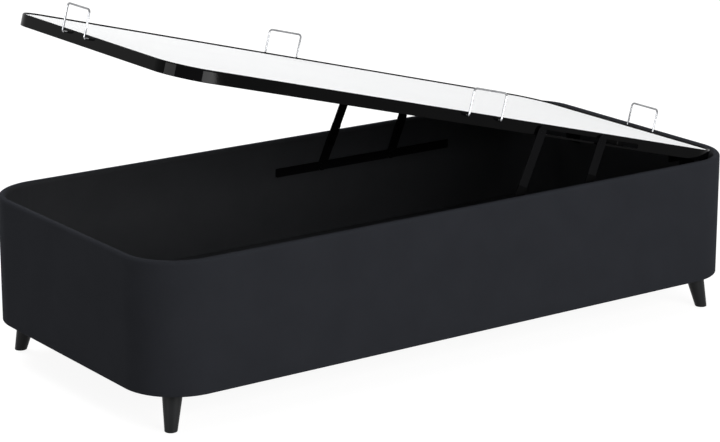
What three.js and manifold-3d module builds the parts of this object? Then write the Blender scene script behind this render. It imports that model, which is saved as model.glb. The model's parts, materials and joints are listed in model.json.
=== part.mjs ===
// Storage divan bed base: an upholstered box on four splayed legs, under a hinged lid that stands part open.
// Millimetres, +Z up. +X runs to the head end, +Y to the left side seen from the foot end.
// The origin lies on the floor under the middle of the box.
import * as THREE from 'three';
import { mergeVertices } from 'three/addons/utils/BufferGeometryUtils.js';
import Module from 'manifold-3d';

const wasm = await Module();
wasm.setup();

// General
const fit = 0.3;
const runningFit = 0.15;
const rad = Math.PI / 180;
const quarterTurn = 90 * rad;
const halfTurn = 2 * quarterTurn;
const fullTurn = 2 * halfTurn;
const arcSteps = 10;
const shapeSteps = arcSteps / 2;
const roundSteps = 20;

// Box
const boxLength = 1900;
const boxWidth = 900;
const boxHeight = 343;
const boxCorner = 150;
const legHeight = 100;
const wall = 20.5;

// Upholstery
const padding = 3;
const lining = 2;
const hem = 2;
const rimPad = 8;
const rimFall = 3;
const rimReach = 2.5;
const rimRoll = 9;
const bottomEdge = 2;
const rimSteps = 6;
const edgeSteps = 3;

// Floor of the storage space
const floorThickness = 9;
const battenHeight = 37.4;
const battenWidth = 25;
const battenSpacing = 460;
const blockSide = 165;

// Legs
const legTop = 54;
const legFoot = 33;
const legBearing = 50.4;
const legSplay = 17;
const legToe = 1.5;
const plateRadius = 36;
const plateThickness = 3;
const plateGap = 4;

// Lid
const lidAngle = 15;
const lidHeadGap = 22.3;
const lidFootGap = 8.7;
const lidCornerStep = 50;
const lidDepth = 32;
const webThickness = 3;
const webEdge = 1.5;
const lipRise = 2.5;
const shelfDepth = 8;
const shelfReach = 28;
const flangeReach = 20;
const sheet = 2;
const topEdge = 1.5;
const crossbarCount = 4;
const crossbarWidth = 25;
const crossbarHeight = 20;

// Hinges at the head end
const hingeSetback = 40;
const hingeDepth = 22;
const hingeFromCorner = 50;
const eyeRadius = 8;
const hingePin = 4;
const earThickness = 5;
const armGap = 3;
const armHeight = 20;
const leafThickness = 3;
const leafWidth = 60;
const leafHeight = 72;
const pinHead = 6;
const pinHeadThickness = 2;

// Stays: each turns on the wall rail below and runs along the lid's side slot above
const railLength = 613;
const railCentre = 284.5;
const railHeight = 26;
const railDrop = 95;
const railThickness = 2.5;
const railCorner = 4;
const stayWidth = 28;
const stayThickness = 3;
const rivetShank = 4;
const rivetHead = 8;
const rivetHeadThickness = 1.6;
const slotDepth = 20;
const rollerRadius = 6;
const rollerPin = 3;
const rollerLength = 3.8;
const slotPlay = 0.5;
const stays = {
  foot: { pivotX: 135, lean: 65.7 },
  head: { pivotX: 379.6, lean: 68.7 },
};

// Wire hoops that keep the mattress from sliding
const wire = 5.5;
const hoopWidth = 109;
const hoopRise = 64;
const hoopStandOff = 15.5;
const hoopDepth = 9;
const hoopRimGap = 2.05;
const hoopCorner = 9;
const hoopFootBend = 6;
const hoopSideShift = 26;
const hoopEndShift = 49;
const wireSides = 8;
const bendSteps = 4;

// Heights and planes that follow from the sizes
const underside = legHeight;
const rim = legHeight + boxHeight;
const board = wall - padding - lining - 2 * fit;
const boardInset = padding + fit;
const boardInner = boardInset + board;
const boardBottom = underside + hem + fit;
const boardTop = rim - rimPad - fit;
const innerInset = wall - lining;
const blockBottom = underside + plateThickness + fit;
const floorBottom = blockBottom + battenHeight + fit;
const floorTop = floorBottom + floorThickness;
const insideX = boxLength / 2 - wall;
const insideY = boxWidth / 2 - wall;
const lidHead = insideX - lidHeadGap;
const lidFoot = lidFootGap - insideX;
const lidLength = lidHead - lidFoot;
const lidSideGap = railThickness + stayThickness + rollerLength + 4 * fit;
const lidSide = insideY - lidSideGap;
const lidWidth = 2 * lidSide;
const lidCorner = boxCorner - lidCornerStep;
const lidTop = rim + hoopDepth + wire / 2 + hoopRimGap;
const hinge = new THREE.Vector2(lidHead - hingeSetback, lidTop - hingeDepth);
const openAngle = lidAngle * rad;
const openDrop = hingeSetback * Math.sin(openAngle) + (lidDepth - hingeDepth) * Math.cos(openAngle);
const armDrop = openDrop + armGap;
const railHeightAxis = rim - railDrop;

// Colours
const paint = {
  fabric: { color: 0x2b2c2f, roughness: 0.9, metalness: 0 },
  board: { color: 0xb08d62, roughness: 0.75, metalness: 0 },
  leg: { color: 0x18181a, roughness: 0.45, metalness: 0 },
  gloss: { color: 0x08080a, roughness: 0.12, metalness: 0.3 },
  steel: { color: 0x141416, roughness: 0.4, metalness: 0.6 },
  white: { color: 0xf2f2f3, roughness: 0.95, metalness: 0 },
  chrome: { color: 0xd8d9dc, roughness: 0.08, metalness: 1 },
};

const bed = new THREE.Group();
const lid = new THREE.Group();
lid.position.set(hinge.x, 0, hinge.y);
lid.rotation.y = openAngle;
bed.add(lid);

function piece(parent, name, geometry, finish) {
  const mesh = new THREE.Mesh(geometry, new THREE.MeshStandardMaterial(finish));
  mesh.name = name;
  parent.add(mesh);
  return mesh;
}

// Joined and cut solids
function toSolid(geometry) {
  const bare = geometry.clone();
  bare.deleteAttribute('normal');
  bare.deleteAttribute('uv');
  const merged = mergeVertices(bare);
  return new wasm.Manifold(new wasm.Mesh({
    numProp: 3,
    vertProperties: Float32Array.from(merged.attributes.position.array),
    triVerts: Uint32Array.from(merged.index.array),
  }));
}

function toGeometry(solid) {
  const mesh = solid.getMesh();
  const geometry = new THREE.BufferGeometry();
  geometry.setAttribute('position', new THREE.BufferAttribute(Float32Array.from(mesh.vertProperties), 3));
  geometry.setIndex(new THREE.BufferAttribute(Uint32Array.from(mesh.triVerts), 1));
  geometry.computeVertexNormals();
  return geometry;
}

function cut(geometry, tools) {
  let solid = toSolid(geometry);
  for (const tool of tools) solid = solid.subtract(toSolid(tool));
  return toGeometry(solid);
}

function join(geometries) {
  let solid = toSolid(geometries[0]);
  for (const other of geometries.slice(1)) solid = solid.add(toSolid(other));
  return toGeometry(solid);
}

// Skin over a row of equal rings, either closed on itself or capped at both ends
function loft(rings, closed = false) {
  const count = rings[0].length;
  const points = rings.flat();
  const faces = [];
  const rows = closed ? rings.length : rings.length - 1;
  for (let row = 0; row < rows; row += 1) {
    const here = row * count;
    const next = ((row + 1) % rings.length) * count;
    for (let k = 0; k < count; k += 1) {
      const k2 = (k + 1) % count;
      faces.push(here + k, here + k2, next + k2, here + k, next + k2, next + k);
    }
  }
  if (!closed) {
    const last = (rings.length - 1) * count;
    for (let k = 1; k < count - 1; k += 1) {
      faces.push(0, k + 1, k, last, last + k, last + k + 1);
    }
  }
  let volume = 0;
  for (let k = 0; k < faces.length; k += 3) {
    const [a, b, c] = [points[faces[k]], points[faces[k + 1]], points[faces[k + 2]]];
    volume += a.dot(b.clone().cross(c));
  }
  if (volume < 0) faces.reverse();
  const geometry = new THREE.BufferGeometry().setFromPoints(points);
  geometry.setIndex(faces);
  geometry.computeVertexNormals();
  return geometry;
}

// Section of [inset, height] points carried round a rounded rectangle
function rounded(section, length, width, corner) {
  const rings = [];
  for (let quarter = 0; quarter < 4; quarter += 1) {
    const from = quarter * quarterTurn;
    const middle = from + quarterTurn / 2;
    const centre = new THREE.Vector3(
      Math.sign(Math.cos(middle)) * (length / 2 - corner),
      Math.sign(Math.sin(middle)) * (width / 2 - corner),
      0,
    );
    for (let step = 0; step <= arcSteps; step += 1) {
      const angle = from + quarterTurn * step / arcSteps;
      const out = new THREE.Vector3(Math.cos(angle), Math.sin(angle), 0);
      rings.push(section.map(([inset, height]) => {
        const point = centre.clone().addScaledVector(out, corner - inset);
        return point.setZ(height);
      }));
    }
  }
  return loft(rings, true);
}

// Points of a quarter ellipse between two directions, the first point left out
function bend(centre, reach, rise, from, to, steps) {
  const points = [];
  for (let step = 1; step <= steps; step += 1) {
    const angle = from + (to - from) * step / steps;
    points.push([centre[0] - reach * Math.cos(angle), centre[1] + rise * Math.sin(angle)]);
  }
  return points;
}

// Outline of a plate with rounded corners
function roundedShape(length, height, corner) {
  const shape = new THREE.Shape();
  const x = length / 2;
  const y = height / 2;
  shape.moveTo(-x + corner, -y);
  shape.lineTo(x - corner, -y);
  shape.absarc(x - corner, -y + corner, corner, -quarterTurn, 0, false);
  shape.lineTo(x, y - corner);
  shape.absarc(x - corner, y - corner, corner, 0, quarterTurn, false);
  shape.lineTo(-x + corner, y);
  shape.absarc(-x + corner, y - corner, corner, quarterTurn, halfTurn, false);
  shape.lineTo(-x, -y + corner);
  shape.absarc(-x + corner, -y + corner, corner, halfTurn, halfTurn + quarterTurn, false);
  return shape;
}

function extrude(shape, depth, steps = edgeSteps) {
  return new THREE.ExtrudeGeometry(shape, { depth, bevelEnabled: false, curveSegments: steps });
}

// Plate that stands in the XZ plane, its thickness centred on y = 0
function upright(shape, thickness, steps = arcSteps) {
  const geometry = extrude(shape, thickness, steps);
  geometry.rotateX(quarterTurn);
  geometry.translate(0, thickness / 2, 0);
  return geometry;
}

function hole(shape, x, y, radius) {
  const path = new THREE.Path();
  path.absarc(x, y, radius, 0, fullTurn, true);
  shape.holes.push(path);
}

// Rod along Y made of [radius, from, to] lengths that lie end to end
function turned(lengths) {
  const points = [new THREE.Vector2(0, lengths[0][1])];
  for (const [radius, from, to] of lengths) {
    points.push(new THREE.Vector2(radius, from), new THREE.Vector2(radius, to));
  }
  points.push(new THREE.Vector2(0, lengths.at(-1)[2]));
  return new THREE.LatheGeometry(points, roundSteps);
}

const sides = { left: 1, right: -1 };
const ends = { head: 1, foot: -1 };

// Fabric cover: under the box edge, up the outside, over the padded rim and down the inside
const coverSection = [
  [wall, underside],
  [bottomEdge, underside],
  [0, underside + bottomEdge],
  [0, rim - rimFall],
  ...bend([rimReach, rim - rimFall], rimReach, rimFall, 0, quarterTurn, edgeSteps),
  [wall - rimRoll, rim],
  ...bend([wall - rimRoll, rim - rimRoll], rimRoll, rimRoll, quarterTurn, halfTurn, rimSteps),
  [wall, floorTop + fit],
  [innerInset, floorTop + fit],
  [innerInset, rim - rimPad],
  [padding, rim - rimPad],
  [padding, underside + hem],
  [wall, underside + hem],
];
piece(bed, 'fabric_cover', rounded(coverSection, boxLength, boxWidth, boxCorner), paint.fabric);

// Boards of the box
const boardRise = boardTop - boardBottom;
const boardMiddle = (boardTop + boardBottom) / 2;
const boardCentre = boardInset + board / 2;
for (const [side, sign] of Object.entries(sides)) {
  const geometry = new THREE.BoxGeometry(boxLength - 2 * (boxCorner + fit), board, boardRise);
  const panel = piece(bed, `side_panel_${side}`, geometry, paint.board);
  panel.position.set(0, sign * (boxWidth / 2 - boardCentre), boardMiddle);
}
for (const [end, sign] of Object.entries(ends)) {
  const geometry = new THREE.BoxGeometry(board, boxWidth - 2 * (boxCorner + fit), boardRise);
  const panel = piece(bed, `end_panel_${end}`, geometry, paint.board);
  panel.position.set(sign * (boxLength / 2 - boardCentre), 0, boardMiddle);
}

// Bent boards that form the round corners
const bentShape = new THREE.Shape();
bentShape.absarc(0, 0, boxCorner - boardInset, 0, quarterTurn, false);
bentShape.absarc(0, 0, boxCorner - boardInner, quarterTurn, 0, true);
bentShape.closePath();

// Corner blocks under the floor, with the same round corner
const blockCorner = boxCorner - boardInner - fit;
const blockShape = new THREE.Shape();
blockShape.moveTo(blockCorner - blockSide, blockCorner - blockSide);
blockShape.lineTo(blockCorner, blockCorner - blockSide);
blockShape.absarc(0, 0, blockCorner, 0, quarterTurn, false);
blockShape.lineTo(blockCorner - blockSide, blockCorner);
blockShape.closePath();

// The round corner's middle is where each leg's place is taken from
const legReach = boxCorner - wall - plateRadius - plateGap;
for (const [end, endSign] of Object.entries(ends)) {
  for (const [side, sideSign] of Object.entries(sides)) {
    const name = `${end}_${side}`;
    const cornerX = endSign * (boxLength / 2 - boxCorner);
    const cornerY = sideSign * (boxWidth / 2 - boxCorner);
    const turn = Math.atan2(sideSign, endSign) - quarterTurn / 2;

    const bent = piece(bed, `corner_panel_${name}`, extrude(bentShape, boardRise, shapeSteps), paint.board);
    bent.position.set(cornerX, cornerY, boardBottom);
    bent.rotation.z = turn;

    const block = piece(bed, `leg_block_${name}`, extrude(blockShape, battenHeight, shapeSteps), paint.board);
    block.position.set(cornerX, cornerY, blockBottom);
    block.rotation.z = turn;

    const topX = cornerX + endSign * legReach * Math.cos(legBearing * rad);
    const topY = cornerY + sideSign * legReach * Math.sin(legBearing * rad);
    const disc = new THREE.CylinderGeometry(plateRadius, plateRadius, plateThickness, roundSteps);
    disc.rotateX(quarterTurn);
    const plate = piece(bed, `leg_plate_${name}`, disc, paint.steel);
    plate.position.set(topX, topY, underside + plateThickness / 2);

    // Tapered round leg that leans out towards its corner
    const levels = [
      [0, legFoot / 2 - legToe],
      [legToe, legFoot / 2],
      [legHeight - fit, legTop / 2],
    ];
    const rings = levels.map(([height, radius]) => {
      const lean = legSplay * (1 - height / legHeight);
      const ring = [];
      for (let step = 0; step < roundSteps; step += 1) {
        const angle = fullTurn * step / roundSteps;
        ring.push(new THREE.Vector3(
          endSign * lean + radius * Math.cos(angle),
          sideSign * lean + radius * Math.sin(angle),
          height,
        ));
      }
      return ring;
    });
    const leg = piece(bed, `leg_${name}`, loft(rings), paint.leg);
    leg.position.set(topX, topY, 0);
  }
}

// Floor boards, cut to the round corners, with the battens below them
function floorShape(sign) {
  const x = boxLength / 2 - innerInset;
  const y = boxWidth / 2 - innerInset;
  const corner = boxCorner - innerInset;
  const shape = new THREE.Shape();
  shape.moveTo(fit / 2, -y);
  shape.lineTo(x - corner, -y);
  shape.absarc(x - corner, -y + corner, corner, -quarterTurn, 0, false);
  shape.lineTo(x, y - corner);
  shape.absarc(x - corner, y - corner, corner, 0, quarterTurn, false);
  shape.lineTo(fit / 2, y);
  shape.closePath();
  const geometry = extrude(shape, floorThickness, shapeSteps);
  if (sign < 0) geometry.rotateZ(halfTurn);
  return geometry;
}
for (const [end, sign] of Object.entries(ends)) {
  const floor = piece(bed, `floor_board_${end}`, floorShape(sign), paint.board);
  floor.position.z = floorBottom;
}
for (const [name, place] of [['foot', -1], ['middle', 0], ['head', 1]]) {
  const length = boxWidth - 2 * (boardInner + fit);
  const batten = piece(
    bed,
    `floor_batten_${name}`,
    new THREE.BoxGeometry(battenWidth, length, battenHeight),
    paint.board,
  );
  batten.position.set(place * battenSpacing, 0, blockBottom + battenHeight / 2);
}

// Planes of the flat steel beside the lid, from the wall inwards
const railY = insideY - fit - railThickness / 2;
const stayY = railY - railThickness / 2 - fit - stayThickness / 2;
const stayInner = stayY - stayThickness / 2;

// Where each stay stands: its length puts the roller in line with the lid's slot
const slotLine = hingeDepth - slotDepth;
function standing(stay) {
  const lean = stay.lean * rad;
  const dx = stay.pivotX - hinge.x;
  const dz = railHeightAxis - hinge.y;
  const below = slotLine - dx * Math.sin(openAngle) - dz * Math.cos(openAngle);
  const reach = below / Math.sin(lean + openAngle);
  const topX = dx + reach * Math.cos(lean);
  const topZ = dz + reach * Math.sin(lean);
  const openAlong = topX * Math.cos(openAngle) - topZ * Math.sin(openAngle);
  const closedLean = Math.asin((slotLine - dz) / reach);
  const closedAlong = dx + reach * Math.cos(closedLean);
  return { lean, reach, openAlong, closedAlong, closedLean };
}

const slotEnds = [];
for (const [end, stay] of Object.entries(stays)) {
  const { lean, reach, openAlong, closedAlong } = standing(stay);
  slotEnds.push(openAlong, closedAlong);
  for (const [side, sign] of Object.entries(sides)) {
    const name = `${end}_${side}`;
    const arm = new THREE.Group();
    arm.position.set(stay.pivotX, 0, railHeightAxis);
    arm.rotation.y = -lean;
    bed.add(arm);

    const shape = new THREE.Shape();
    shape.absarc(reach, 0, stayWidth / 2, -quarterTurn, quarterTurn, false);
    shape.absarc(0, 0, stayWidth / 2, quarterTurn, halfTurn + quarterTurn, false);
    shape.closePath();
    hole(shape, 0, 0, rivetShank + runningFit);
    hole(shape, reach, 0, rollerPin + runningFit);
    const bar = piece(arm, `lid_stay_${name}`, upright(shape, stayThickness), paint.steel);
    bar.position.y = sign * stayY;

    const roller = piece(arm, `stay_roller_${name}`, turned([
      [rollerPin, fit - stayThickness, fit],
      [rollerRadius, fit, fit + rollerLength],
    ]), paint.steel);
    roller.position.set(reach, sign * stayInner, 0);
    roller.rotation.z = sign > 0 ? halfTurn : 0;

    const rivet = piece(bed, `stay_rivet_${name}`, turned([
      [rivetShank, fit - stayThickness - railThickness, fit],
      [rivetHead, fit, fit + rivetHeadThickness],
    ]), paint.steel);
    rivet.position.set(stay.pivotX, sign * stayInner, railHeightAxis);
    rivet.rotation.z = sign > 0 ? halfTurn : 0;
  }
}

// Rails on the side walls that carry the stays
for (const [side, sign] of Object.entries(sides)) {
  const shape = roundedShape(railLength, railHeight, railCorner);
  for (const stay of Object.values(stays)) {
    hole(shape, stay.pivotX - railCentre, 0, rivetShank + runningFit);
  }
  const rail = piece(bed, `wall_rail_${side}`, upright(shape, railThickness), paint.steel);
  rail.position.set(railCentre, sign * railY, railHeightAxis);
}

// Lid frame: a steel channel with a shelf that takes the top, bent round the corners
const lidUp = hingeDepth;
const lidMiddle = (lidHead + lidFoot) / 2 - hinge.x;
const channel = [
  [0, lidUp - lidDepth + webEdge],
  [0, lidUp - webEdge],
  [webEdge, lidUp],
  [webThickness, lidUp],
  [webThickness, lidUp - shelfDepth],
  [shelfReach, lidUp - shelfDepth],
  [shelfReach, lidUp - shelfDepth - sheet],
  [webThickness, lidUp - shelfDepth - sheet],
  [webThickness, lidUp - lidDepth + sheet],
  [flangeReach, lidUp - lidDepth + sheet],
  [flangeReach, lidUp - lidDepth],
  [webEdge, lidUp - lidDepth],
];
const slotHalf = rollerRadius + slotPlay;
const slotFrom = Math.min(...slotEnds);
const slotTo = Math.max(...slotEnds);
const slotShape = roundedShape(slotTo - slotFrom + 2 * slotHalf, 2 * slotHalf, slotHalf - slotPlay / 2);
const slotTools = Object.values(sides).map((sign) => {
  const tool = upright(slotShape, 2 * webThickness);
  tool.translate((slotFrom + slotTo) / 2 - lidMiddle, sign * (lidSide - webThickness / 2), slotLine);
  return tool;
});
const frame = piece(
  lid,
  'lid_frame',
  cut(rounded(channel, lidLength, lidWidth, lidCorner), slotTools),
  paint.gloss,
);
frame.position.x = lidMiddle;

// Fabric-covered top that lies in the frame, a little below its lip
const topThickness = shelfDepth - fit - lipRise;
const topInset = webThickness + fit;
const topHalfX = lidLength / 2 - topInset;
const topHalfY = lidWidth / 2 - topInset;
const topCorner = lidCorner - topInset;
const topRings = [
  [0, -topThickness],
  [0, -topEdge],
  [topEdge, 0],
].map(([inset, height]) => {
  const shape = roundedShape(2 * (topHalfX - inset), 2 * (topHalfY - inset), topCorner - inset);
  return shape.extractPoints(shapeSteps).shape.map((point) => new THREE.Vector3(point.x, point.y, height));
});
const top = piece(lid, 'lid_top', loft(topRings), paint.white);
top.position.set(lidMiddle, 0, lidUp - lipRise);

// Crossbars under the top, between the frame's shelves
const barSpan = lidWidth - 2 * (shelfReach + fit);
const barPitch = lidLength / (crossbarCount + 1);
for (let index = 1; index <= crossbarCount; index += 1) {
  const bar = piece(
    lid,
    `lid_crossbar_${index}`,
    new THREE.BoxGeometry(crossbarWidth, barSpan, crossbarHeight),
    paint.steel,
  );
  bar.position.set(
    lidFoot + index * barPitch - hinge.x,
    0,
    lidUp - shelfDepth - crossbarHeight / 2,
  );
}

// Wire hoop: two feet butt against the frame, bend up and meet in a flat bow
function hoopPath() {
  const half = hoopWidth / 2;
  const corners = [
    [new THREE.Vector3(-half, hoopStandOff - fit, -hoopDepth), 0],
    [new THREE.Vector3(-half, 0, -hoopDepth), hoopFootBend],
    [new THREE.Vector3(-half, 0, hoopRise), hoopCorner],
    [new THREE.Vector3(half, 0, hoopRise), hoopCorner],
    [new THREE.Vector3(half, 0, -hoopDepth), hoopFootBend],
    [new THREE.Vector3(half, hoopStandOff - fit, -hoopDepth), 0],
  ];
  const points = [corners[0][0]];
  for (let index = 1; index < corners.length - 1; index += 1) {
    const [here, radius] = corners[index];
    const back = corners[index - 1][0].clone().sub(here).normalize();
    const ahead = corners[index + 1][0].clone().sub(here).normalize();
    const centre = here.clone().addScaledVector(back, radius).addScaledVector(ahead, radius);
    for (let step = 0; step <= bendSteps; step += 1) {
      const angle = quarterTurn * step / bendSteps;
      points.push(centre.clone()
        .addScaledVector(ahead, -radius * Math.cos(angle))
        .addScaledVector(back, -radius * Math.sin(angle)));
    }
  }
  points.push(corners.at(-1)[0]);
  return points;
}

// Round wire along a row of points, its section turned from one to the next
function wireAlong(points, radius, count) {
  const rings = [];
  const turn = fullTurn / count;
  let normal = new THREE.Vector3(1, 0, 0);
  points.forEach((point, index) => {
    const before = points[Math.max(index - 1, 0)];
    const after = points[Math.min(index + 1, points.length - 1)];
    const along = after.clone().sub(before).normalize();
    normal = normal.clone().addScaledVector(along, -normal.dot(along)).normalize();
    const across = along.clone().cross(normal);
    const ring = [];
    for (let step = 0; step < count; step += 1) {
      const angle = turn * step + turn / 2;
      ring.push(point.clone()
        .addScaledVector(normal, radius * Math.cos(angle))
        .addScaledVector(across, radius * Math.sin(angle)));
    }
    rings.push(ring);
  });
  return loft(rings);
}

const hoopOutX = lidLength / 2 + hoopStandOff;
const hoopOutY = lidWidth / 2 + hoopStandOff;
const hoops = {
  right: { x: hoopSideShift, y: -hoopOutY, turn: 0 },
  left: { x: -hoopSideShift, y: hoopOutY, turn: halfTurn },
  head: { x: hoopOutX, y: -hoopEndShift, turn: quarterTurn },
  foot: { x: -hoopOutX, y: hoopEndShift, turn: -quarterTurn },
};
for (const [name, place] of Object.entries(hoops)) {
  const hoop = piece(
    lid,
    `mattress_hoop_${name}`,
    wireAlong(hoopPath(), wire / 2, wireSides),
    paint.chrome,
  );
  hoop.position.set(lidMiddle + place.x, place.y, lidUp);
  hoop.rotation.z = place.turn;
}

// Hinges: a bracket on the head wall reaches under the frame, a lug in the frame turns on its pin
const armInner = eyeRadius + fit;
for (const [side, sign] of Object.entries(sides)) {
  const hingeY = sign * (boxWidth / 2 - boxCorner - hingeFromCorner);

  const reach = insideX - fit - hinge.x;
  const armShape = new THREE.Shape();
  armShape.moveTo(reach, -armDrop);
  armShape.lineTo(armInner, -armDrop);
  armShape.lineTo(eyeRadius, 0);
  armShape.absarc(0, 0, eyeRadius, 0, halfTurn, false);
  armShape.lineTo(-eyeRadius, -armDrop - armHeight);
  armShape.lineTo(reach, -armDrop - armHeight);
  armShape.closePath();
  hole(armShape, 0, 0, hingePin + runningFit);
  const leaf = new THREE.BoxGeometry(leafThickness, leafWidth, leafHeight);
  leaf.translate(reach - leafThickness / 2, 0, -armDrop - leafHeight / 2);
  const bracketForm = join([upright(armShape, earThickness), leaf]);
  const bracket = piece(bed, `hinge_bracket_${side}`, bracketForm, paint.steel);
  bracket.position.set(hinge.x, hingeY, hinge.y);

  const lugInner = hingeSetback - webThickness - fit;
  const lugHeel = hingeSetback - flangeReach - fit;
  const lugTop = hingeDepth - shelfDepth - sheet - fit;
  const lugFoot = hingeDepth - lidDepth + sheet + fit;
  const lugShape = new THREE.Shape();
  lugShape.moveTo(lugInner, lugTop);
  lugShape.lineTo(0, lugTop);
  lugShape.absarc(0, 0, eyeRadius, halfTurn, halfTurn + quarterTurn, false);
  lugShape.lineTo(lugHeel, -eyeRadius);
  lugShape.lineTo(lugHeel, lugFoot);
  lugShape.lineTo(lugInner, lugFoot);
  lugShape.closePath();
  hole(lugShape, 0, 0, hingePin + runningFit);
  const lug = piece(lid, `hinge_lug_${side}`, upright(lugShape, earThickness), paint.steel);
  lug.position.y = hingeY - sign * (earThickness + fit);

  const pin = piece(bed, `hinge_pin_${side}`, turned([
    [pinHead, -fit - pinHeadThickness, -fit],
    [hingePin, -fit, 2 * (earThickness + fit)],
    [pinHead, 2 * (earThickness + fit), 2 * (earThickness + fit) + pinHeadThickness],
  ]), paint.steel);
  pin.position.set(hinge.x, hingeY + sign * earThickness / 2, hinge.y);
  pin.rotation.z = sign > 0 ? halfTurn : 0;
}

export default bed;
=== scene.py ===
"""Looks for the divan bed base: upholstery, lid, steelwork, floor, light and camera.

Metres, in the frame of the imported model: +X to the head end, +Y to the left side, +Z up.
"""

import json
import math

import bmesh
import bpy
import numpy as np
from mathutils import Matrix, Vector


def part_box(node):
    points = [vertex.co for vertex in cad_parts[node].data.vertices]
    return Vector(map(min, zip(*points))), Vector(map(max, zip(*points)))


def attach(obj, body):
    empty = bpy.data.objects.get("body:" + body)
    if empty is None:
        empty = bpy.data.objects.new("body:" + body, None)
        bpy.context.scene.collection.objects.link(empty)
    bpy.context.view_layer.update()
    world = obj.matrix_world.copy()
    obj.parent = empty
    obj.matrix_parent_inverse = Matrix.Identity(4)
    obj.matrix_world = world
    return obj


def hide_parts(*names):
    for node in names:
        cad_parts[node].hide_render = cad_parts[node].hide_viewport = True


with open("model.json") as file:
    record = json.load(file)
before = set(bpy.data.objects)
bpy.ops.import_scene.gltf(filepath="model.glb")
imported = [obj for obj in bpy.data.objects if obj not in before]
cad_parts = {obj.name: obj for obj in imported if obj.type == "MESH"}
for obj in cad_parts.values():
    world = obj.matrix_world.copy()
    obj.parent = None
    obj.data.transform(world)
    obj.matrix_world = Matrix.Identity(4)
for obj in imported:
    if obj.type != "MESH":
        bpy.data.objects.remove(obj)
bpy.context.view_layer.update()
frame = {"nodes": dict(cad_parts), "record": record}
nodes = frame["nodes"]

MM = 0.001
SIDES = {"left": 1, "right": -1}
ENDS = {"head": 1, "foot": -1}

# Sizes of the box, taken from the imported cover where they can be
cover_low, cover_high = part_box("fabric_cover")
BOX_LENGTH = cover_high.x - cover_low.x
BOX_WIDTH = cover_high.y - cover_low.y
UNDERSIDE = cover_low.z
RIM = cover_high.z
CORNER = 150 * MM
WALL = 20.5 * MM
LINING = 2 * MM
PADDING = 3 * MM
HEM = 2 * MM
HEM_TURN = 3 * MM
RIM_PAD = 8 * MM
RIM_FALL = 10 * MM
RIM_REACH = 8 * MM
ROLL_REACH = 8 * MM
ROLL_DROP = 12 * MM
SEAM_TURN = 122  # degrees round the roll
SEAM_OPEN = 1.5  # degrees
SEAM_GAP = 0.1 * MM
LAP = 1 * MM
FIT = 0.3 * MM
FLOOR_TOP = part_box("floor_board_head")[1].z
LAP_END = RIM - 24 * MM

# Lid, in a frame of its own at the hinge: +X along the lid to the head end, +Z square to its top
OPEN = math.radians(15)
HINGE = Vector((867.2 * MM, 0, 434.8 * MM))
LID_HEAD = 40 * MM
LID_LENGTH = 1828 * MM
LID_WIDTH = 838 * MM
LID_CORNER = 100 * MM
LID_TOP = 22 * MM
LID_DEPTH = 32 * MM
LID_MIDDLE = LID_HEAD - LID_LENGTH / 2
WEB = 3 * MM
SHELF_DEPTH = 8 * MM
SHELF_REACH = 28 * MM
FLANGE_REACH = 20 * MM
SHEET = 2 * MM
LIP_RISE = 4 * MM
LID_FRAME = Matrix.Translation(HINGE) @ Matrix.Rotation(OPEN, 4, "Y")


# Meshes
# Width of the strip beside each bend, which keeps the shading of the straight runs flat
NARROW = 1.5 * MM


def new_object(name, mesh, body, material, replaced=()):
    """An object made from a mesh in the shared frame, riding on a body."""
    made = bpy.data.objects.new(name, mesh)
    bpy.context.scene.collection.objects.link(made)
    made.data.materials.clear()
    made.data.materials.append(material)
    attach(made, body)
    if replaced:
        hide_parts(*replaced)


def ring_points(length, width, corner, inset, steps, along, across):
    """Plan of a rounded rectangle drawn in by inset, counter-clockwise.

    Each point comes with its run along the outer line, and the last value is the whole way round.
    """
    points, runs = [], []
    run = 0.0
    half_x, half_y = length / 2 - corner, width / 2 - corner
    arc = corner * math.pi / 2
    for quarter in range(4):
        sign_x = 1 if quarter in (0, 3) else -1
        sign_y = 1 if quarter in (0, 1) else -1
        for step in range(steps + 1):
            angle = math.radians(90) * (quarter + step / steps)
            reach = corner - inset
            x = sign_x * half_x + reach * math.cos(angle)
            y = sign_y * half_y + reach * math.sin(angle)
            points.append((x, y))
            runs.append(run + arc * step / steps)
        run += arc
        # a straight run to the next corner, cut into equal lengths with a narrow one at each end
        straight, parts = (2 * half_x, along) if quarter in (0, 2) else (2 * half_y, across)
        start = Vector(points[-1])
        turn = math.radians(90) * (quarter + 1)
        direction = Vector((-math.sin(turn), math.cos(turn)))
        steps_on = [straight * part / parts for part in range(1, parts)]
        for reached in [NARROW, *steps_on, straight - NARROW]:
            point = start + direction * reached
            points.append((point.x, point.y))
            runs.append(run + reached)
        run += straight
    return points, runs, run


def swept(name, section, plan, steps, along, across):
    """Closed skin of a section of (inset, height) points carried round a plan, with UVs in metres.

    The plan is a rounded rectangle: its length, width and corner radius.
    """
    rings = [ring_points(*plan, inset, steps, along, across) for inset, _ in section]
    runs, total = rings[0][1], rings[0][2]
    count = len(runs)
    rise = [0.0]
    for (a, b), (c, d) in zip(section, section[1:] + section[:1]):
        rise.append(rise[-1] + math.hypot(c - a, d - b))
    vertices = []
    for (_, height), (points, _, _) in zip(section, rings):
        vertices += [Vector((x, y, height)) for x, y in points]
    faces, coordinates = [], []
    rows = len(section)
    for row in range(rows):
        following = (row + 1) % rows
        for k in range(count):
            k2 = (k + 1) % count
            here, there = row * count, following * count
            faces.append((here + k, here + k2, there + k2, there + k))
            near, far = runs[k], total if k2 == 0 else runs[k2]
            low, high = rise[row], rise[row + 1]
            coordinates += [(near, low), (far, low), (far, high), (near, high)]
    mesh = bpy.data.meshes.new(name)
    mesh.from_pydata(vertices, [], faces)
    layer = mesh.uv_layers.new(name="UVMap")
    layer.data.foreach_set("uv", np.array(coordinates, np.float32).ravel())
    outward(mesh)
    return mesh


def middle(node):
    """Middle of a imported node's box."""
    low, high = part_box(node)
    return (low + high) / 2


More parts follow.
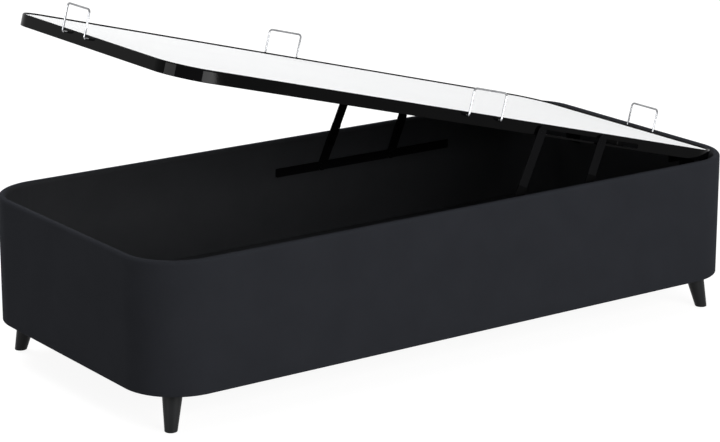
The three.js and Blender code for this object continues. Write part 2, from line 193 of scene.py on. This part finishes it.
def outward(mesh):
    """Turns the faces of a closed mesh to the outside."""
    work = bmesh.new()
    work.from_mesh(mesh)
    bmesh.ops.recalc_face_normals(work, faces=work.faces)
    if work.calc_volume(signed=True) < 0:
        bmesh.ops.reverse_faces(work, faces=work.faces)
    work.to_mesh(mesh)
    work.free()


def smooth(mesh, angle=35):
    """Smooth shading that stops at edges sharper than the angle."""
    mesh.shade_smooth()
    mesh.set_sharp_from_angle(angle=math.radians(angle))


def lofted(name, rings):
    """Closed skin over rings of points, capped at both ends."""
    count = len(rings[0])
    vertices = [point for ring in rings for point in ring]
    faces = []
    for row in range(len(rings) - 1):
        for k in range(count):
            k2 = (k + 1) % count
            here, there = row * count, (row + 1) * count
            faces.append((here + k, here + k2, there + k2, there + k))
    faces.append(tuple(range(count)))
    last = (len(rings) - 1) * count
    faces.append(tuple(last + k for k in range(count)))
    mesh = bpy.data.meshes.new(name)
    mesh.from_pydata(vertices, [], faces)
    outward(mesh)
    return mesh


def arc(centre, reach, rise, start, end, steps):
    """Points of a quarter ellipse as (inset, height), angles in degrees, first point left out."""
    made = []
    for step in range(1, steps + 1):
        angle = math.radians(start + (end - start) * step / steps)
        made.append((centre[0] - reach * math.cos(angle), centre[1] + rise * math.sin(angle)))
    return made


# Shader nodes
class Nodes:
    """A short way to write a node tree."""

    def __init__(self, name):
        self.material = bpy.data.materials.new(name)
        self.material.use_nodes = True
        self.tree = self.material.node_tree
        self.surface = self.tree.nodes["Principled BSDF"]

    def add(self, kind, **values):
        node = self.tree.nodes.new(kind)
        for key, value in values.items():
            if hasattr(node, key):
                setattr(node, key, value)
            else:
                node.inputs[key.replace("_", " ")].default_value = value
        return node

    def link(self, source, target):
        self.tree.links.new(source, target)

    def maths(self, operation, a, b=None):
        node = self.add("ShaderNodeMath", operation=operation)
        for socket, value in zip(node.inputs, (a, b)):
            if value is None:
                continue
            if isinstance(value, (int, float)):
                socket.default_value = value
            else:
                self.link(value, socket)
        return node.outputs[0]

    def noise(self, vector, scale, detail=4.0, rough=0.55):
        node = self.add("ShaderNodeTexNoise", Scale=scale, Detail=detail, Roughness=rough)
        self.link(vector, node.inputs["Vector"])
        return node.outputs["Fac"]

    def ramp(self, value, stops):
        node = self.add("ShaderNodeValToRGB")
        elements = node.color_ramp.elements
        while len(elements) < len(stops):
            elements.new(0.5)
        for element, (place, colour) in zip(elements, stops):
            element.position = place
            element.color = (*colour, 1)
        self.link(value, node.inputs["Fac"])
        return node.outputs["Color"]

    def span(self, value, low, high):
        """Maps 0..1 to low..high."""
        node = self.add("ShaderNodeMapRange")
        node.inputs["To Min"].default_value = low
        node.inputs["To Max"].default_value = high
        self.link(value, node.inputs["Value"])
        return node.outputs["Result"]

    def bump(self, height, distance, strength=1.0, before=None):
        node = self.add("ShaderNodeBump", Strength=strength, Distance=distance)
        self.link(height, node.inputs["Height"])
        if before is not None:
            self.link(before, node.inputs["Normal"])
        self.link(node.outputs["Normal"], self.surface.inputs["Normal"])
        return node.outputs["Normal"]

    def place(self):
        return self.add("ShaderNodeTexCoord").outputs["Object"]

    def uv(self):
        return self.add("ShaderNodeUVMap", uv_map="UVMap").outputs["UV"]

    def split(self, vector):
        node = self.add("ShaderNodeSeparateXYZ")
        self.link(vector, node.inputs[0])
        return node.outputs


def woven(name, colour, mottle_and_gap_shade, pitch, weave_depth, uv=True):
    """Cloth of crossing yarns: pitch between yarns, colour of the yarn tops, and a darker colour for
    random mottling and for painted shade in the gaps between yarns.
    """
    n = Nodes(name)
    place = n.place()
    across = n.uv() if uv else place
    x, y, _ = n.split(across)
    turns = math.pi / pitch
    warp = n.maths("ABSOLUTE", n.maths("SINE", n.maths("MULTIPLY", x, turns)))
    weft = n.maths("ABSOLUTE", n.maths("SINE", n.maths("MULTIPLY", y, turns)))
    # plain weave: the warp is on top in every other cell
    cell_x = n.maths("FLOOR", n.maths("MULTIPLY", x, 1 / pitch))
    cell_y = n.maths("FLOOR", n.maths("MULTIPLY", y, 1 / pitch))
    checker = n.maths("MODULO", n.maths("ABSOLUTE", n.maths("ADD", cell_x, cell_y)), 2.0)
    other = n.maths("SUBTRACT", 1.0, checker)
    height = n.maths("ADD", n.maths("MULTIPLY", warp, checker), n.maths("MULTIPLY", weft, other))
    fuzz = n.noise(place, 1400.0, 3.0)
    height = n.maths("ADD", n.maths("MULTIPLY", height, 0.75), n.maths("MULTIPLY", fuzz, 0.5))
    cloud = n.noise(place, 9.0, 5.0)
    mottle = n.noise(place, 260.0, 4.0)
    tone = n.maths("ADD", n.maths("MULTIPLY", cloud, 0.45), n.maths("MULTIPLY", mottle, 0.3))
    # the weave's height darkens the gaps between yarns: painted shade in the hollows of the weave,
    # added to the random mottling
    tone = n.maths("ADD", tone, n.maths("MULTIPLY", height, 0.25))
    n.link(n.ramp(tone, [(0.3, mottle_and_gap_shade), (0.7, colour)]), n.surface.inputs["Base Color"])
    n.link(n.span(mottle, 0.79, 0.91), n.surface.inputs["Roughness"])
    n.surface.inputs["Specular IOR Level"].default_value = 0.03
    wave = n.bump(n.noise(place, 22.0, 3.0), 0.0006, 0.5)
    n.bump(height, weave_depth, 0.8, wave)
    return n.material


def painted(name, colour, rough, grain, depth, specular):
    """Painted or lacquered surface with a fine orange peel and small changes of gloss."""
    n = Nodes(name)
    place = n.place()
    smudge = n.noise(place, 14.0, 5.0)
    peel = n.noise(place, grain, 2.0)
    low = tuple(c * 0.82 for c in colour)
    n.link(n.ramp(smudge, [(0.35, low), (0.65, colour)]), n.surface.inputs["Base Color"])
    n.link(n.span(smudge, rough * 0.85, rough * 1.15), n.surface.inputs["Roughness"])
    n.surface.inputs["Specular IOR Level"].default_value = specular
    n.bump(peel, depth, 0.6)
    return n.material


def bare_board(name):
    """Pale engineered board: fine fibres, faint long grain and a few darker flecks."""
    n = Nodes(name)
    place = n.place()
    stretch = n.add("ShaderNodeMapping")
    stretch.inputs["Scale"].default_value = (3.0, 60.0, 60.0)
    n.link(place, stretch.inputs["Vector"])
    grain = n.noise(stretch.outputs[0], 3.0, 8.0, 0.6)
    fibre = n.noise(place, 420.0, 4.0)
    tone = n.maths("ADD", n.maths("MULTIPLY", grain, 0.6), n.maths("MULTIPLY", fibre, 0.4))
    colours = [(0.25, (0.25, 0.16, 0.085)), (0.5, (0.42, 0.29, 0.17)), (0.75, (0.55, 0.41, 0.26))]
    n.link(n.ramp(tone, colours), n.surface.inputs["Base Color"])
    n.link(n.span(fibre, 0.6, 0.85), n.surface.inputs["Roughness"])
    n.bump(tone, 0.0003, 0.5)
    return n.material


def chrome(name):
    """Polished plating with faint drawing lines and smudges."""
    n = Nodes(name)
    place = n.place()
    smudge = n.noise(place, 60.0, 4.0)
    tones = [(0.3, (0.22, 0.225, 0.235)), (0.7, (0.37, 0.375, 0.385))]
    n.link(n.ramp(smudge, tones), n.surface.inputs["Base Color"])
    n.link(n.span(smudge, 0.05, 0.12), n.surface.inputs["Roughness"])
    n.surface.inputs["Metallic"].default_value = 1.0
    n.bump(n.noise(place, 1500.0, 2.0), 0.00001, 0.4)
    return n.material


# Cloths: colour of the yarn tops, darker colour for mottling and painted shade in the gaps, pitch of
# the weave and depth of its bump
CHARCOAL = woven(
    "charcoal_upholstery", (0.0272, 0.0289, 0.0344), (0.0206, 0.0221, 0.0264), 0.0009, 0.00022
)
WHITE = woven("white_cloth", (0.93, 0.935, 0.94), (0.905, 0.91, 0.915), 0.0008, 0.00012)
# Lining: a lighter copy of the dark cloth, painted light that stands in for light that doesn't reach
# the inside of the box and its inner roll
LINING_PAINTED_LIGHT = woven(
    "lining_painted_light", (0.0345, 0.0354, 0.0382), (0.0267, 0.0276, 0.0299), 0.0012, 0.00015, uv=False
)
BOARD = bare_board("bare_board")
# Paints: colour, roughness, scale and depth of the orange peel, and specular level
LEG_PAINT = painted("black_lacquer", (0.0175, 0.0185, 0.0195), 0.45, 500.0, 0.00006, 0.1)
GLOSS = painted("gloss_black", (0.0015, 0.0015, 0.0017), 0.035, 220.0, 0.00001, 0.045)
STEEL = painted("satin_black_steel", (0.0035, 0.0035, 0.004), 0.3, 1100.0, 0.00003, 0.03)
SLEEVE = painted("matte_black_sleeve", (0.0012, 0.0012, 0.0013), 0.6, 700.0, 0.00008, 0.02)
CHROME = chrome("polished_chrome")

SLOT_MATERIAL = {
    "cover_fabric": CHARCOAL,
    "white_fabric": WHITE,
    "lining": LINING_PAINTED_LIGHT,
    "board": BOARD,
    "black_wood": LEG_PAINT,
    "gloss_frame": GLOSS,
    "black_steel": STEEL,
    "chrome_wire": CHROME,
}
for part in frame["record"]["subparts"]:
    node = nodes[part["node"]]
    node.data.materials.clear()
    node.data.materials.append(SLOT_MATERIAL[part["material_slot"]])


# Upholstery of the box: hem, outer side, padded rim and inner lining
def inner_roll(drawn, start, end, steps):
    """Points of the roll inside the rim as (inset, height), angles in degrees.

    The surface is drawn in by a thickness.
    """
    reach, drop = ROLL_REACH - drawn, ROLL_DROP - drawn
    centre = (WALL - ROLL_REACH, RIM - ROLL_DROP)
    first = math.radians(start)
    point = (centre[0] - reach * math.cos(first), centre[1] + drop * math.sin(first))
    return [point, *arc(centre, reach, drop, start, end, steps)]


def cover_section():
    """Section of the cover: hem, side, soft rim, the roll inwards, and the lap under the lining."""
    side_low, side_top = UNDERSIDE + HEM_TURN, RIM - RIM_FALL
    points = [(WALL, UNDERSIDE), (2 * HEM_TURN, UNDERSIDE)]
    points += arc((HEM_TURN, side_low), HEM_TURN, -HEM_TURN, 90, 0, 5)
    levels = 10
    for level in range(1, levels + 1):
        points.append((0.0, side_low + (side_top - side_low) * level / levels))
    points += arc((RIM_REACH, side_top), RIM_REACH, RIM_FALL, 0, 90, 10)
    points += inner_roll(0.0, 90, SEAM_TURN, 5)
    points += inner_roll(LAP, SEAM_TURN, 180, 8)
    points += [
        (WALL - LAP, LAP_END),
        (WALL - LINING, LAP_END),
        (WALL - LINING, RIM - RIM_PAD),
        (PADDING, RIM - RIM_PAD),
        (PADDING, UNDERSIDE + HEM),
        (WALL, UNDERSIDE + HEM),
    ]
    return points


def lining_face():
    """Shown side of the lining as (inset, height), from the seam to the floor."""
    top, bottom = RIM - ROLL_DROP, FLOOR_TOP + FIT
    face = inner_roll(0.0, SEAM_TURN + SEAM_OPEN, 180, 8)
    return face + [(WALL, top + (bottom - top) * level / 6) for level in range(1, 7)]


def lining_section():
    """Lining that hangs inside the walls from the seam to the floor, over the turned edge."""
    thickness = LAP - SEAM_GAP
    bottom = FLOOR_TOP + FIT
    back = inner_roll(thickness, SEAM_TURN + SEAM_OPEN, 180, 8)
    return [*lining_face(), (WALL - thickness, bottom), *reversed(back)]


for name, section, slot, cloth in (
    ("upholstery", cover_section(), "cover_fabric", CHARCOAL),
    ("inner_lining", lining_section(), "lining", LINING_PAINTED_LIGHT),
):
    mesh = swept(name, section, (BOX_LENGTH, BOX_WIDTH, CORNER), steps=28, along=60, across=24)
    smooth(mesh)
    new_object(name, mesh, "box", cloth, ["fabric_cover"])


# Lid frame: one polished channel bent round the corners, with a slot for the stays in each side
CHANNEL_EDGE = 1.5 * MM
NOSE_RISE = 4.2 * MM
NOSE_FLAT = 0.4 * MM


def lid_section():
    """Section of the channel: the outer web with its nose, the shelf under the cloth and the flange."""
    edge = CHANNEL_EDGE
    nose, nose_rise = WEB - NOSE_FLAT, NOSE_RISE
    top, bottom = LID_TOP, LID_TOP - LID_DEPTH
    shelf = top - SHELF_DEPTH
    points = arc((edge, bottom + edge), edge, -edge, 90, 0, 4)
    low, high = bottom + edge, top - nose_rise
    for height in (low + NARROW / 3, (low + high) / 2, high - NARROW / 3, high):
        points.append((0.0, height))
    points += arc((nose, high), nose, nose_rise, 0, 90, 8)
    points += [
        (WEB, top - NOSE_FLAT),
        (WEB, shelf),
        (SHELF_REACH, shelf),
        (SHELF_REACH, shelf - SHEET),
        (WEB, shelf - SHEET),
        (WEB, bottom + SHEET),
        (FLANGE_REACH, bottom + SHEET),
        (FLANGE_REACH, bottom),
    ]
    return points


def slot_cutter(name, x_from, x_to, y, half, depth, line):
    """Rounded bar that cuts one slot, lying along the lid."""
    rings = []
    for side in (-depth, depth):
        ring = []
        for centre, start in ((x_to - half, -90), (x_from + half, 90)):
            for step in range(13):
                angle = math.radians(start + 180 * step / 12)
                x, z = centre + half * math.cos(angle), line + half * math.sin(angle)
                ring.append(Vector((x, y + side, z)))
        rings.append(ring)
    return lofted(name, rings)


LID_PLAN = (LID_LENGTH, LID_WIDTH, LID_CORNER)
lid_mesh = swept("lid_frame_channel", lid_section(), LID_PLAN, steps=32, along=40, across=20)
lid_mesh.transform(Matrix.Translation((LID_MIDDLE, 0, 0)))

bpy.context.scene.collection.objects.link(bpy.data.objects.new("lid_work", lid_mesh))
lid_work = bpy.data.objects["lid_work"]
SLOT_DROP = 20 * MM
SLOT_LINE = LID_TOP - SLOT_DROP
SLOT_HALF = 6.5 * MM


def slot_reach():
    """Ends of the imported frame's own slot, from the vertices of the web near its middle line."""
    inverse = LID_FRAME.inverted()
    found = []
    foot_end = LID_HEAD - LID_LENGTH + LID_CORNER + MM
    head_end = LID_HEAD - LID_CORNER - MM
    for v in nodes["lid_frame"].data.vertices:
        p = inverse @ v.co
        if abs(p.y) > LID_WIDTH / 2 - 1.5 * WEB and abs(p.z - SLOT_LINE) < SLOT_HALF + MM:
            if foot_end < p.x < head_end:
                found.append(p.x)
    return min(found), max(found)


slot_from, slot_to = slot_reach()
cutters = []
for sign in (1, -1):
    web_y = sign * LID_WIDTH / 2
    cutter = slot_cutter("cutter", slot_from, slot_to, web_y, SLOT_HALF, 2 * WEB, SLOT_LINE)
    cutter_object = bpy.data.objects.new("cutter", cutter)
    bpy.context.scene.collection.objects.link(cutter_object)
    modifier = lid_work.modifiers.new("slot", "BOOLEAN")
    modifier.operation = "DIFFERENCE"
    modifier.solver = "EXACT"
    modifier.object = cutter_object
    cutters.append(cutter_object)
bpy.context.view_layer.update()
evaluated = lid_work.evaluated_get(bpy.context.evaluated_depsgraph_get())
channel_mesh = bpy.data.meshes.new_from_object(evaluated)
channel_mesh.name = "lid_frame_channel"
for spare in [lid_work, *cutters]:
    bpy.data.objects.remove(spare)
channel_mesh.transform(LID_FRAME)
smooth(channel_mesh)
new_object("lid_frame_channel", channel_mesh, "lid", GLOSS, ["lid_frame"])


# Cloth-covered top: a board with soft edges in the frame
def top_mesh():
    inset = WEB + FIT
    length, width, corner = LID_LENGTH - 2 * inset, LID_WIDTH - 2 * inset, LID_CORNER - inset
    bottom = LID_TOP - SHELF_DEPTH + FIT
    face, edge = LID_TOP - LIP_RISE, 2 * MM
    levels = [(0.0, bottom), (0.0, face - edge)]
    levels += arc((edge, face - edge), edge, edge, 0, 90, 5)
    levels += [(step * 8 * MM, face) for step in range(1, 7)]
    rings = []
    for step_in, height in levels:
        points, _, _ = ring_points(length, width, corner, step_in, 20, 40, 20)
        rings.append([Vector((x + LID_MIDDLE, y, height)) for x, y in points])
    mesh = lofted("lid_top_cloth", rings)
    layer = mesh.uv_layers.new(name="UVMap")
    for loop in mesh.loops:
        co = mesh.vertices[loop.vertex_index].co
        layer.data[loop.index].uv = (co.x, co.y)
    return mesh


top = top_mesh()
top.transform(LID_FRAME)
smooth(top, 50)
new_object("lid_top_cloth", top, "lid", WHITE, ["lid_top"])


# Wire hoops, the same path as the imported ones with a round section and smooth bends
WIRE = 5.5 * MM
HOOP_WIDTH = 109 * MM
HOOP_RISE = 64 * MM
HOOP_STAND_OFF = 15.5 * MM
HOOP_DEPTH = 9 * MM
HOOP_CORNER = 9 * MM
HOOP_FOOT = 6 * MM
HOOP_SIDE_SHIFT = 26 * MM
HOOP_END_SHIFT = 49 * MM
WIRE_SIDES = 20


def hoop_line():
    """Middle line of one wire hoop, with its corners rounded."""
    half = HOOP_WIDTH / 2
    corners = [
        (Vector((-half, HOOP_STAND_OFF - FIT, -HOOP_DEPTH)), 0),
        (Vector((-half, 0, -HOOP_DEPTH)), HOOP_FOOT),
        (Vector((-half, 0, HOOP_RISE)), HOOP_CORNER),
        (Vector((half, 0, HOOP_RISE)), HOOP_CORNER),
        (Vector((half, 0, -HOOP_DEPTH)), HOOP_FOOT),
        (Vector((half, HOOP_STAND_OFF - FIT, -HOOP_DEPTH)), 0),
    ]
    line = [corners[0][0]]
    for (before, _), (here, radius), (after, _) in zip(corners, corners[1:], corners[2:]):
        back, ahead = (before - here).normalized(), (after - here).normalized()
        centre = here + (back + ahead) * radius
        for step in range(9):
            angle = math.radians(90) * step / 8
            line.append(centre - ahead * radius * math.cos(angle) - back * radius * math.sin(angle))
    line.append(corners[-1][0])
    return line


def wire_mesh(name, line, radius):
    """Round wire along a line, closed at both ends."""
    rings = []
    normal = Vector((1, 0, 0))
    for index, point in enumerate(line):
        before, after = line[max(index - 1, 0)], line[min(index + 1, len(line) - 1)]
        along = (after - before).normalized()
        normal = (normal - along * normal.dot(along)).normalized()
        across = along.cross(normal)
        ring = []
        for step in range(WIRE_SIDES):
            angle = 2 * math.pi * step / WIRE_SIDES
            ring.append(point + (normal * math.cos(angle) + across * math.sin(angle)) * radius)
        rings.append(ring)
    return lofted(name, rings)


hoop_x = LID_LENGTH / 2 + HOOP_STAND_OFF
hoop_y = LID_WIDTH / 2 + HOOP_STAND_OFF
HOOPS = {
    "right": (HOOP_SIDE_SHIFT, -hoop_y, 0),
    "left": (-HOOP_SIDE_SHIFT, hoop_y, 180),
    "head": (hoop_x, -HOOP_END_SHIFT, 90),
    "foot": (-hoop_x, HOOP_END_SHIFT, -90),
}
for name, (x, y, turn) in HOOPS.items():
    mesh = wire_mesh(f"hoop_wire_{name}", hoop_line(), WIRE / 2)
    place = Matrix.Translation((LID_MIDDLE + x, y, LID_TOP))
    mesh.transform(LID_FRAME @ place @ Matrix.Rotation(math.radians(turn), 4, "Z"))
    smooth(mesh, 60)
    new_object(f"hoop_wire_{name}", mesh, "lid", CHROME, [f"mattress_hoop_{name}"])


# Legs: turned, tapered and leaning, with a rounded toe
LEG_TOP = 54 * MM
LEG_FOOT = 33 * MM
LEG_SPLAY = 17 * MM
LEG_HEIGHT = 100 * MM
LEG_TOE = 2 * MM
LEG_SIDES = 48
LEG_STEPS = 12
TOE_STEPS = 4


def leg_levels():
    """Heights and radii of a leg from the floor up."""
    foot, straight = LEG_FOOT / 2, LEG_HEIGHT - FIT - LEG_TOE
    levels = [(0.0, foot - LEG_TOE)]
    for step in range(1, TOE_STEPS + 1):
        angle = math.radians(90) * step / TOE_STEPS
        levels.append((LEG_TOE * (1 - math.cos(angle)), foot - LEG_TOE * (1 - math.sin(angle))))
    for step in range(1, LEG_STEPS + 1):
        share = step / LEG_STEPS
        levels.append((LEG_TOE + straight * share, foot + (LEG_TOP - LEG_FOOT) / 2 * share))
    return levels


for end, end_sign in ENDS.items():
    for side, side_sign in SIDES.items():
        centre = middle(f"leg_plate_{end}_{side}")
        rings = []
        for height, radius in leg_levels():
            lean = LEG_SPLAY * (1 - height / LEG_HEIGHT)
            ring = []
            for step in range(LEG_SIDES):
                angle = 2 * math.pi * step / LEG_SIDES
                x = centre.x + end_sign * lean + radius * math.cos(angle)
                y = centre.y + side_sign * lean + radius * math.sin(angle)
                ring.append(Vector((x, y, height)))
            rings.append(ring)
        name = f"turned_leg_{end}_{side}"
        mesh = lofted(name, rings)
        smooth(mesh, 50)
        new_object(name, mesh, "box", LEG_PAINT, [f"leg_{end}_{side}"])


# Imported steel keeps its shape: its edges are eased, so that they catch the light
def eased(node, width):
    """Round the edges of a CAD node with modifiers."""
    weld = nodes[node].modifiers.new("weld", "WELD")
    weld.merge_threshold = 0.01 * MM
    bevel = nodes[node].modifiers.new("ease", "BEVEL")
    bevel.width = width
    bevel.segments = 2
    bevel.limit_method = "ANGLE"
    bevel.angle_limit = math.radians(40)
    bevel.harden_normals = False


CORNERS = [f"{end}_{side}" for end in ENDS for side in SIDES]
# Width of the eased edge in millimetres, and the pieces that have it
EASED = {
    "wall_rail": (0.5, SIDES),
    "hinge_bracket": (0.5, SIDES),
    "hinge_lug": (0.5, SIDES),
    "leg_plate": (0.4, CORNERS),
    "lid_stay": (0.6, CORNERS),
    "stay_rivet": (0.4, CORNERS),
    "floor_batten": (1.0, ["foot", "middle", "head"]),
    "lid_crossbar": (1.5, range(1, 5)),
}
for kind, (width, names) in EASED.items():
    for name in names:
        eased(f"{kind}_{name}", width * MM)


# Black sleeves round the lower part of the stays
STAY_WIDTH = 28 * MM
STAY_THICKNESS = 3 * MM
SLEEVE_FROM = 64 * MM
SLEEVE_TO = {"foot": 128 * MM, "head": 120 * MM}
SLEEVE_PROUD = 0.8 * MM
SLEEVE_BACK = 0.15 * MM
SLEEVE_CORNER = 0.6 * MM


def sleeve_mesh(name, pivot, along, inward, start, end):
    """Flat tube round a stay, thin at the back, with soft corners and ends."""
    across = along.cross(inward)
    half = STAY_WIDTH / 2 + SLEEVE_PROUD
    back = -STAY_THICKNESS / 2 - SLEEVE_BACK
    front = STAY_THICKNESS / 2 + SLEEVE_PROUD
    rings = []
    edge = SLEEVE_CORNER
    for place, drawn in ((start, edge), (start + edge, 0.0), (end - edge, 0.0), (end, edge)):
        ring = []
        for corner_x, corner_y, first in (
            (half - edge, front - edge, 0),
            (edge - half, front - edge, 90),
            (edge - half, back + edge, 180),
            (half - edge, back + edge, 270),
        ):
            for step in range(5):
                angle = math.radians(first + 90 * step / 4)
                reach = edge - drawn * 0.6
                x, y = corner_x + reach * math.cos(angle), corner_y + reach * math.sin(angle)
                ring.append(pivot + along * place + across * x + inward * y)
        rings.append(ring)
    return lofted(name, rings)


for end in ENDS:
    for side, side_sign in SIDES.items():
        bar_low, bar_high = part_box(f"lid_stay_{end}_{side}")
        pivot = middle(f"stay_rivet_{end}_{side}")
        top_end = middle(f"stay_roller_{end}_{side}")
        pivot.y = top_end.y = (bar_low.y + bar_high.y) / 2
        along = (top_end - pivot).normalized()
        inward = Vector((0, -side_sign, 0))
        name = f"stay_sleeve_{end}_{side}"
        mesh = sleeve_mesh(name, pivot, along, inward, SLEEVE_FROM, SLEEVE_TO[end])
        smooth(mesh)
        new_object(name, mesh, f"stay_{end}_{side}", SLEEVE)


# Screws: countersunk in the wall rails, with a low round head on the hinge leaves
SCREW_SIDES = 24
SOCKET = 1.8 * MM
SOCKET_DEPTH = 1.2 * MM
SCREW_SINK = 1.5 * MM
SCREW_SHOULDER = 0.5 * MM


def screw(name, place, out, radius, rise):
    """Head of a socket screw that stands rise proud of a face, with its axis along out."""
    shoulder = min(rise, SCREW_SHOULDER)
    profile = [
        (radius * 0.6, -SCREW_SINK),
        (radius, 0.0),
        (radius, rise - shoulder),
        (radius - shoulder, rise),
        (SOCKET, rise),
        (SOCKET, rise - SOCKET_DEPTH),
    ]
    turned = Vector(out).to_track_quat("Z", "Y").to_matrix().to_4x4()
    rings = []
    for index, (reach, height) in enumerate(profile):
        ring = []
        for step in range(SCREW_SIDES):
            angle = 2 * math.pi * step / SCREW_SIDES
            # the socket is six-sided
            from_flat = (angle + math.pi / 6) % (math.pi / 3) - math.pi / 6
            flat = math.cos(math.radians(30)) / math.cos(from_flat)
            size = reach * flat if index > 3 else reach
            x, y = size * math.cos(angle), size * math.sin(angle)
            ring.append(place + turned @ Vector((x, y, height)))
        rings.append(ring)
    mesh = lofted(name, rings)
    smooth(mesh)
    new_object(name, mesh, "box", STEEL)


# Places in millimetres: along the rail from its middle, and across and up each hinge leaf
RAIL_SCREWS = [-295, -200, -60, 0, 195, 295]
LEAF_SCREWS = [(y, z) for y in (-20, 20) for z in (13, 59)]
LEAF_THICKNESS = 3 * MM
RAIL_HEAD, RAIL_HEAD_RISE = 4.5 * MM, 0.12 * MM
LEAF_HEAD, LEAF_HEAD_RISE = 4.2 * MM, 2.0 * MM
for side, side_sign in SIDES.items():
    rail_low, rail_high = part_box(f"wall_rail_{side}")
    rail_middle = (rail_low + rail_high) / 2
    face = rail_low.y if side_sign > 0 else rail_high.y
    for number, reach in enumerate(RAIL_SCREWS, 1):
        place = Vector((rail_middle.x + reach * MM, face, rail_middle.z))
        name = f"rail_screw_{side}_{number}"
        screw(name, place, (0, -side_sign, 0), RAIL_HEAD, RAIL_HEAD_RISE)
    leaf_low, leaf_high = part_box(f"hinge_bracket_{side}")
    for number, (y, z) in enumerate(LEAF_SCREWS, 1):
        leaf_y = (leaf_low.y + leaf_high.y) / 2
        place = Vector((leaf_high.x - LEAF_THICKNESS, leaf_y + y * MM, leaf_low.z + z * MM))
        name = f"hinge_screw_{side}_{number}"
        screw(name, place, (-1, 0, 0), LEAF_HEAD, LEAF_HEAD_RISE)


# Floor, light and camera
FLOOR_REACH = 30.0
FLOOR_FRONT = -3.45
FLOOR_DROP = 0.5 * MM
FLOOR_GLOW = 0.92


def floor_material():
    """Pale floor that camera and mirror rays see as white, with the object's shadow left on it."""
    n = Nodes("pale_floor")
    n.surface.inputs["Roughness"].default_value = 0.9
    n.surface.inputs["Specular IOR Level"].default_value = 0.0
    n.surface.inputs["Emission Color"].default_value = (1, 1, 1, 1)
    path = n.add("ShaderNodeLightPath")
    mirrored = n.maths("MAXIMUM", path.outputs["Is Glossy Ray"], path.outputs["Is Transmission Ray"])
    seen = n.maths("MAXIMUM", mirrored, path.outputs["Is Camera Ray"])
    n.link(n.maths("MULTIPLY", seen, FLOOR_GLOW), n.surface.inputs["Emission Strength"])
    greys = [(0.0, (0.45, 0.45, 0.45)), (1.0, (0.2, 0.2, 0.2))]
    n.link(n.ramp(seen, greys), n.surface.inputs["Base Color"])
    return n.material


floor_mesh = bpy.data.meshes.new("studio_floor")
floor_corners = [
    (-FLOOR_REACH, FLOOR_FRONT, 0),
    (FLOOR_REACH, FLOOR_FRONT, 0),
    (FLOOR_REACH, FLOOR_REACH, 0),
    (-FLOOR_REACH, FLOOR_REACH, 0),
]
floor_mesh.from_pydata(floor_corners, [], [(0, 1, 2, 3)])
floor = bpy.data.objects.new("studio_floor", floor_mesh)
floor.location.z = -FLOOR_DROP
floor.data.materials.append(floor_material())
bpy.context.scene.collection.objects.link(floor)

WORLD_LEVEL = 0.35
world = bpy.data.worlds.new("studio")
bpy.context.scene.world = world
world.use_nodes = True
tree = world.node_tree
background = tree.nodes["Background"]
background.inputs["Color"].default_value = (1, 1, 1, 1)
path = tree.nodes.new("ShaderNodeLightPath")
# white to camera, glossy and transmission rays, and an even level of light to the rest
seen = path.outputs["Is Camera Ray"]
for kind in ("Is Glossy Ray", "Is Transmission Ray"):
    larger = tree.nodes.new("ShaderNodeMath")
    larger.operation = "MAXIMUM"
    tree.links.new(seen, larger.inputs[0])
    tree.links.new(path.outputs[kind], larger.inputs[1])
    seen = larger.outputs[0]
level = tree.nodes.new("ShaderNodeMapRange")
level.inputs["To Min"].default_value = WORLD_LEVEL
level.inputs["To Max"].default_value = 1.0
tree.links.new(seen, level.inputs["Value"])
tree.links.new(level.outputs["Result"], background.inputs["Strength"])


def panel(name, place, target, size, power, seen_in_gloss=False, lights_up=True):
    """A soft light, aimed at a point."""
    data = bpy.data.lights.new(name, "AREA")
    data.shape = "RECTANGLE"
    data.size, data.size_y = size
    data.energy = power
    light = bpy.data.objects.new(name, data)
    light.location = place
    light.rotation_euler = (Vector(target) - Vector(place)).to_track_quat("-Z", "Y").to_euler()
    light.visible_glossy = seen_in_gloss
    light.visible_diffuse = lights_up
    bpy.context.scene.collection.objects.link(light)


panel("key", (0.5, -6.5, 2.9), (0, 0, 0.3), (5.0, 3.0), 285)
panel("overhead", (-0.8, -0.5, 5.0), (-0.1, 0, 0.4), (4.5, 3.0), 26)
panel("fill", (-0.4, 5.0, 5.0), (0, 0, 0.3), (4.5, 2.4), 298)

# Upright strips that only glossy surfaces show, placed as the lid's round foot corner mirrors them
MIRROR_CORNER = Vector((-0.80, -0.40, 0.875))


def strip(name, azimuth, elevation, distance, size, power):
    turn, rise = math.radians(azimuth), math.radians(elevation)
    outwards = math.cos(rise)
    towards = Vector((math.cos(turn) * outwards, math.sin(turn) * outwards, math.sin(rise)))
    place = MIRROR_CORNER + towards * distance
    target = (*MIRROR_CORNER.xy, place.z)
    panel(name, place, target, size, power, seen_in_gloss=True, lights_up=False)


strip("strip_foot", 181.5, 10.5, 4.0, (2.4, 2.4), 150)
strip("strip_side", -71, -9.5, 2.9, (1.4, 0.6), 44)

camera_data = bpy.data.cameras.new("camera")
camera = bpy.data.objects.new("camera", camera_data)
bpy.context.scene.collection.objects.link(camera)
CAMERA_PLACE = Vector((-3.9294, -5.4837, 2.2106))
CAMERA_YAW = math.radians(35.398)
CAMERA_PITCH = math.radians(15.794)
camera.location = CAMERA_PLACE
camera.rotation_euler = (math.radians(90) - CAMERA_PITCH, 0, -CAMERA_YAW)
camera_data.sensor_width = 36
camera_data.lens = 128.805
camera_data.clip_end = 100
bpy.context.scene.camera = camera

bpy.context.scene.view_settings.view_transform = "Standard"
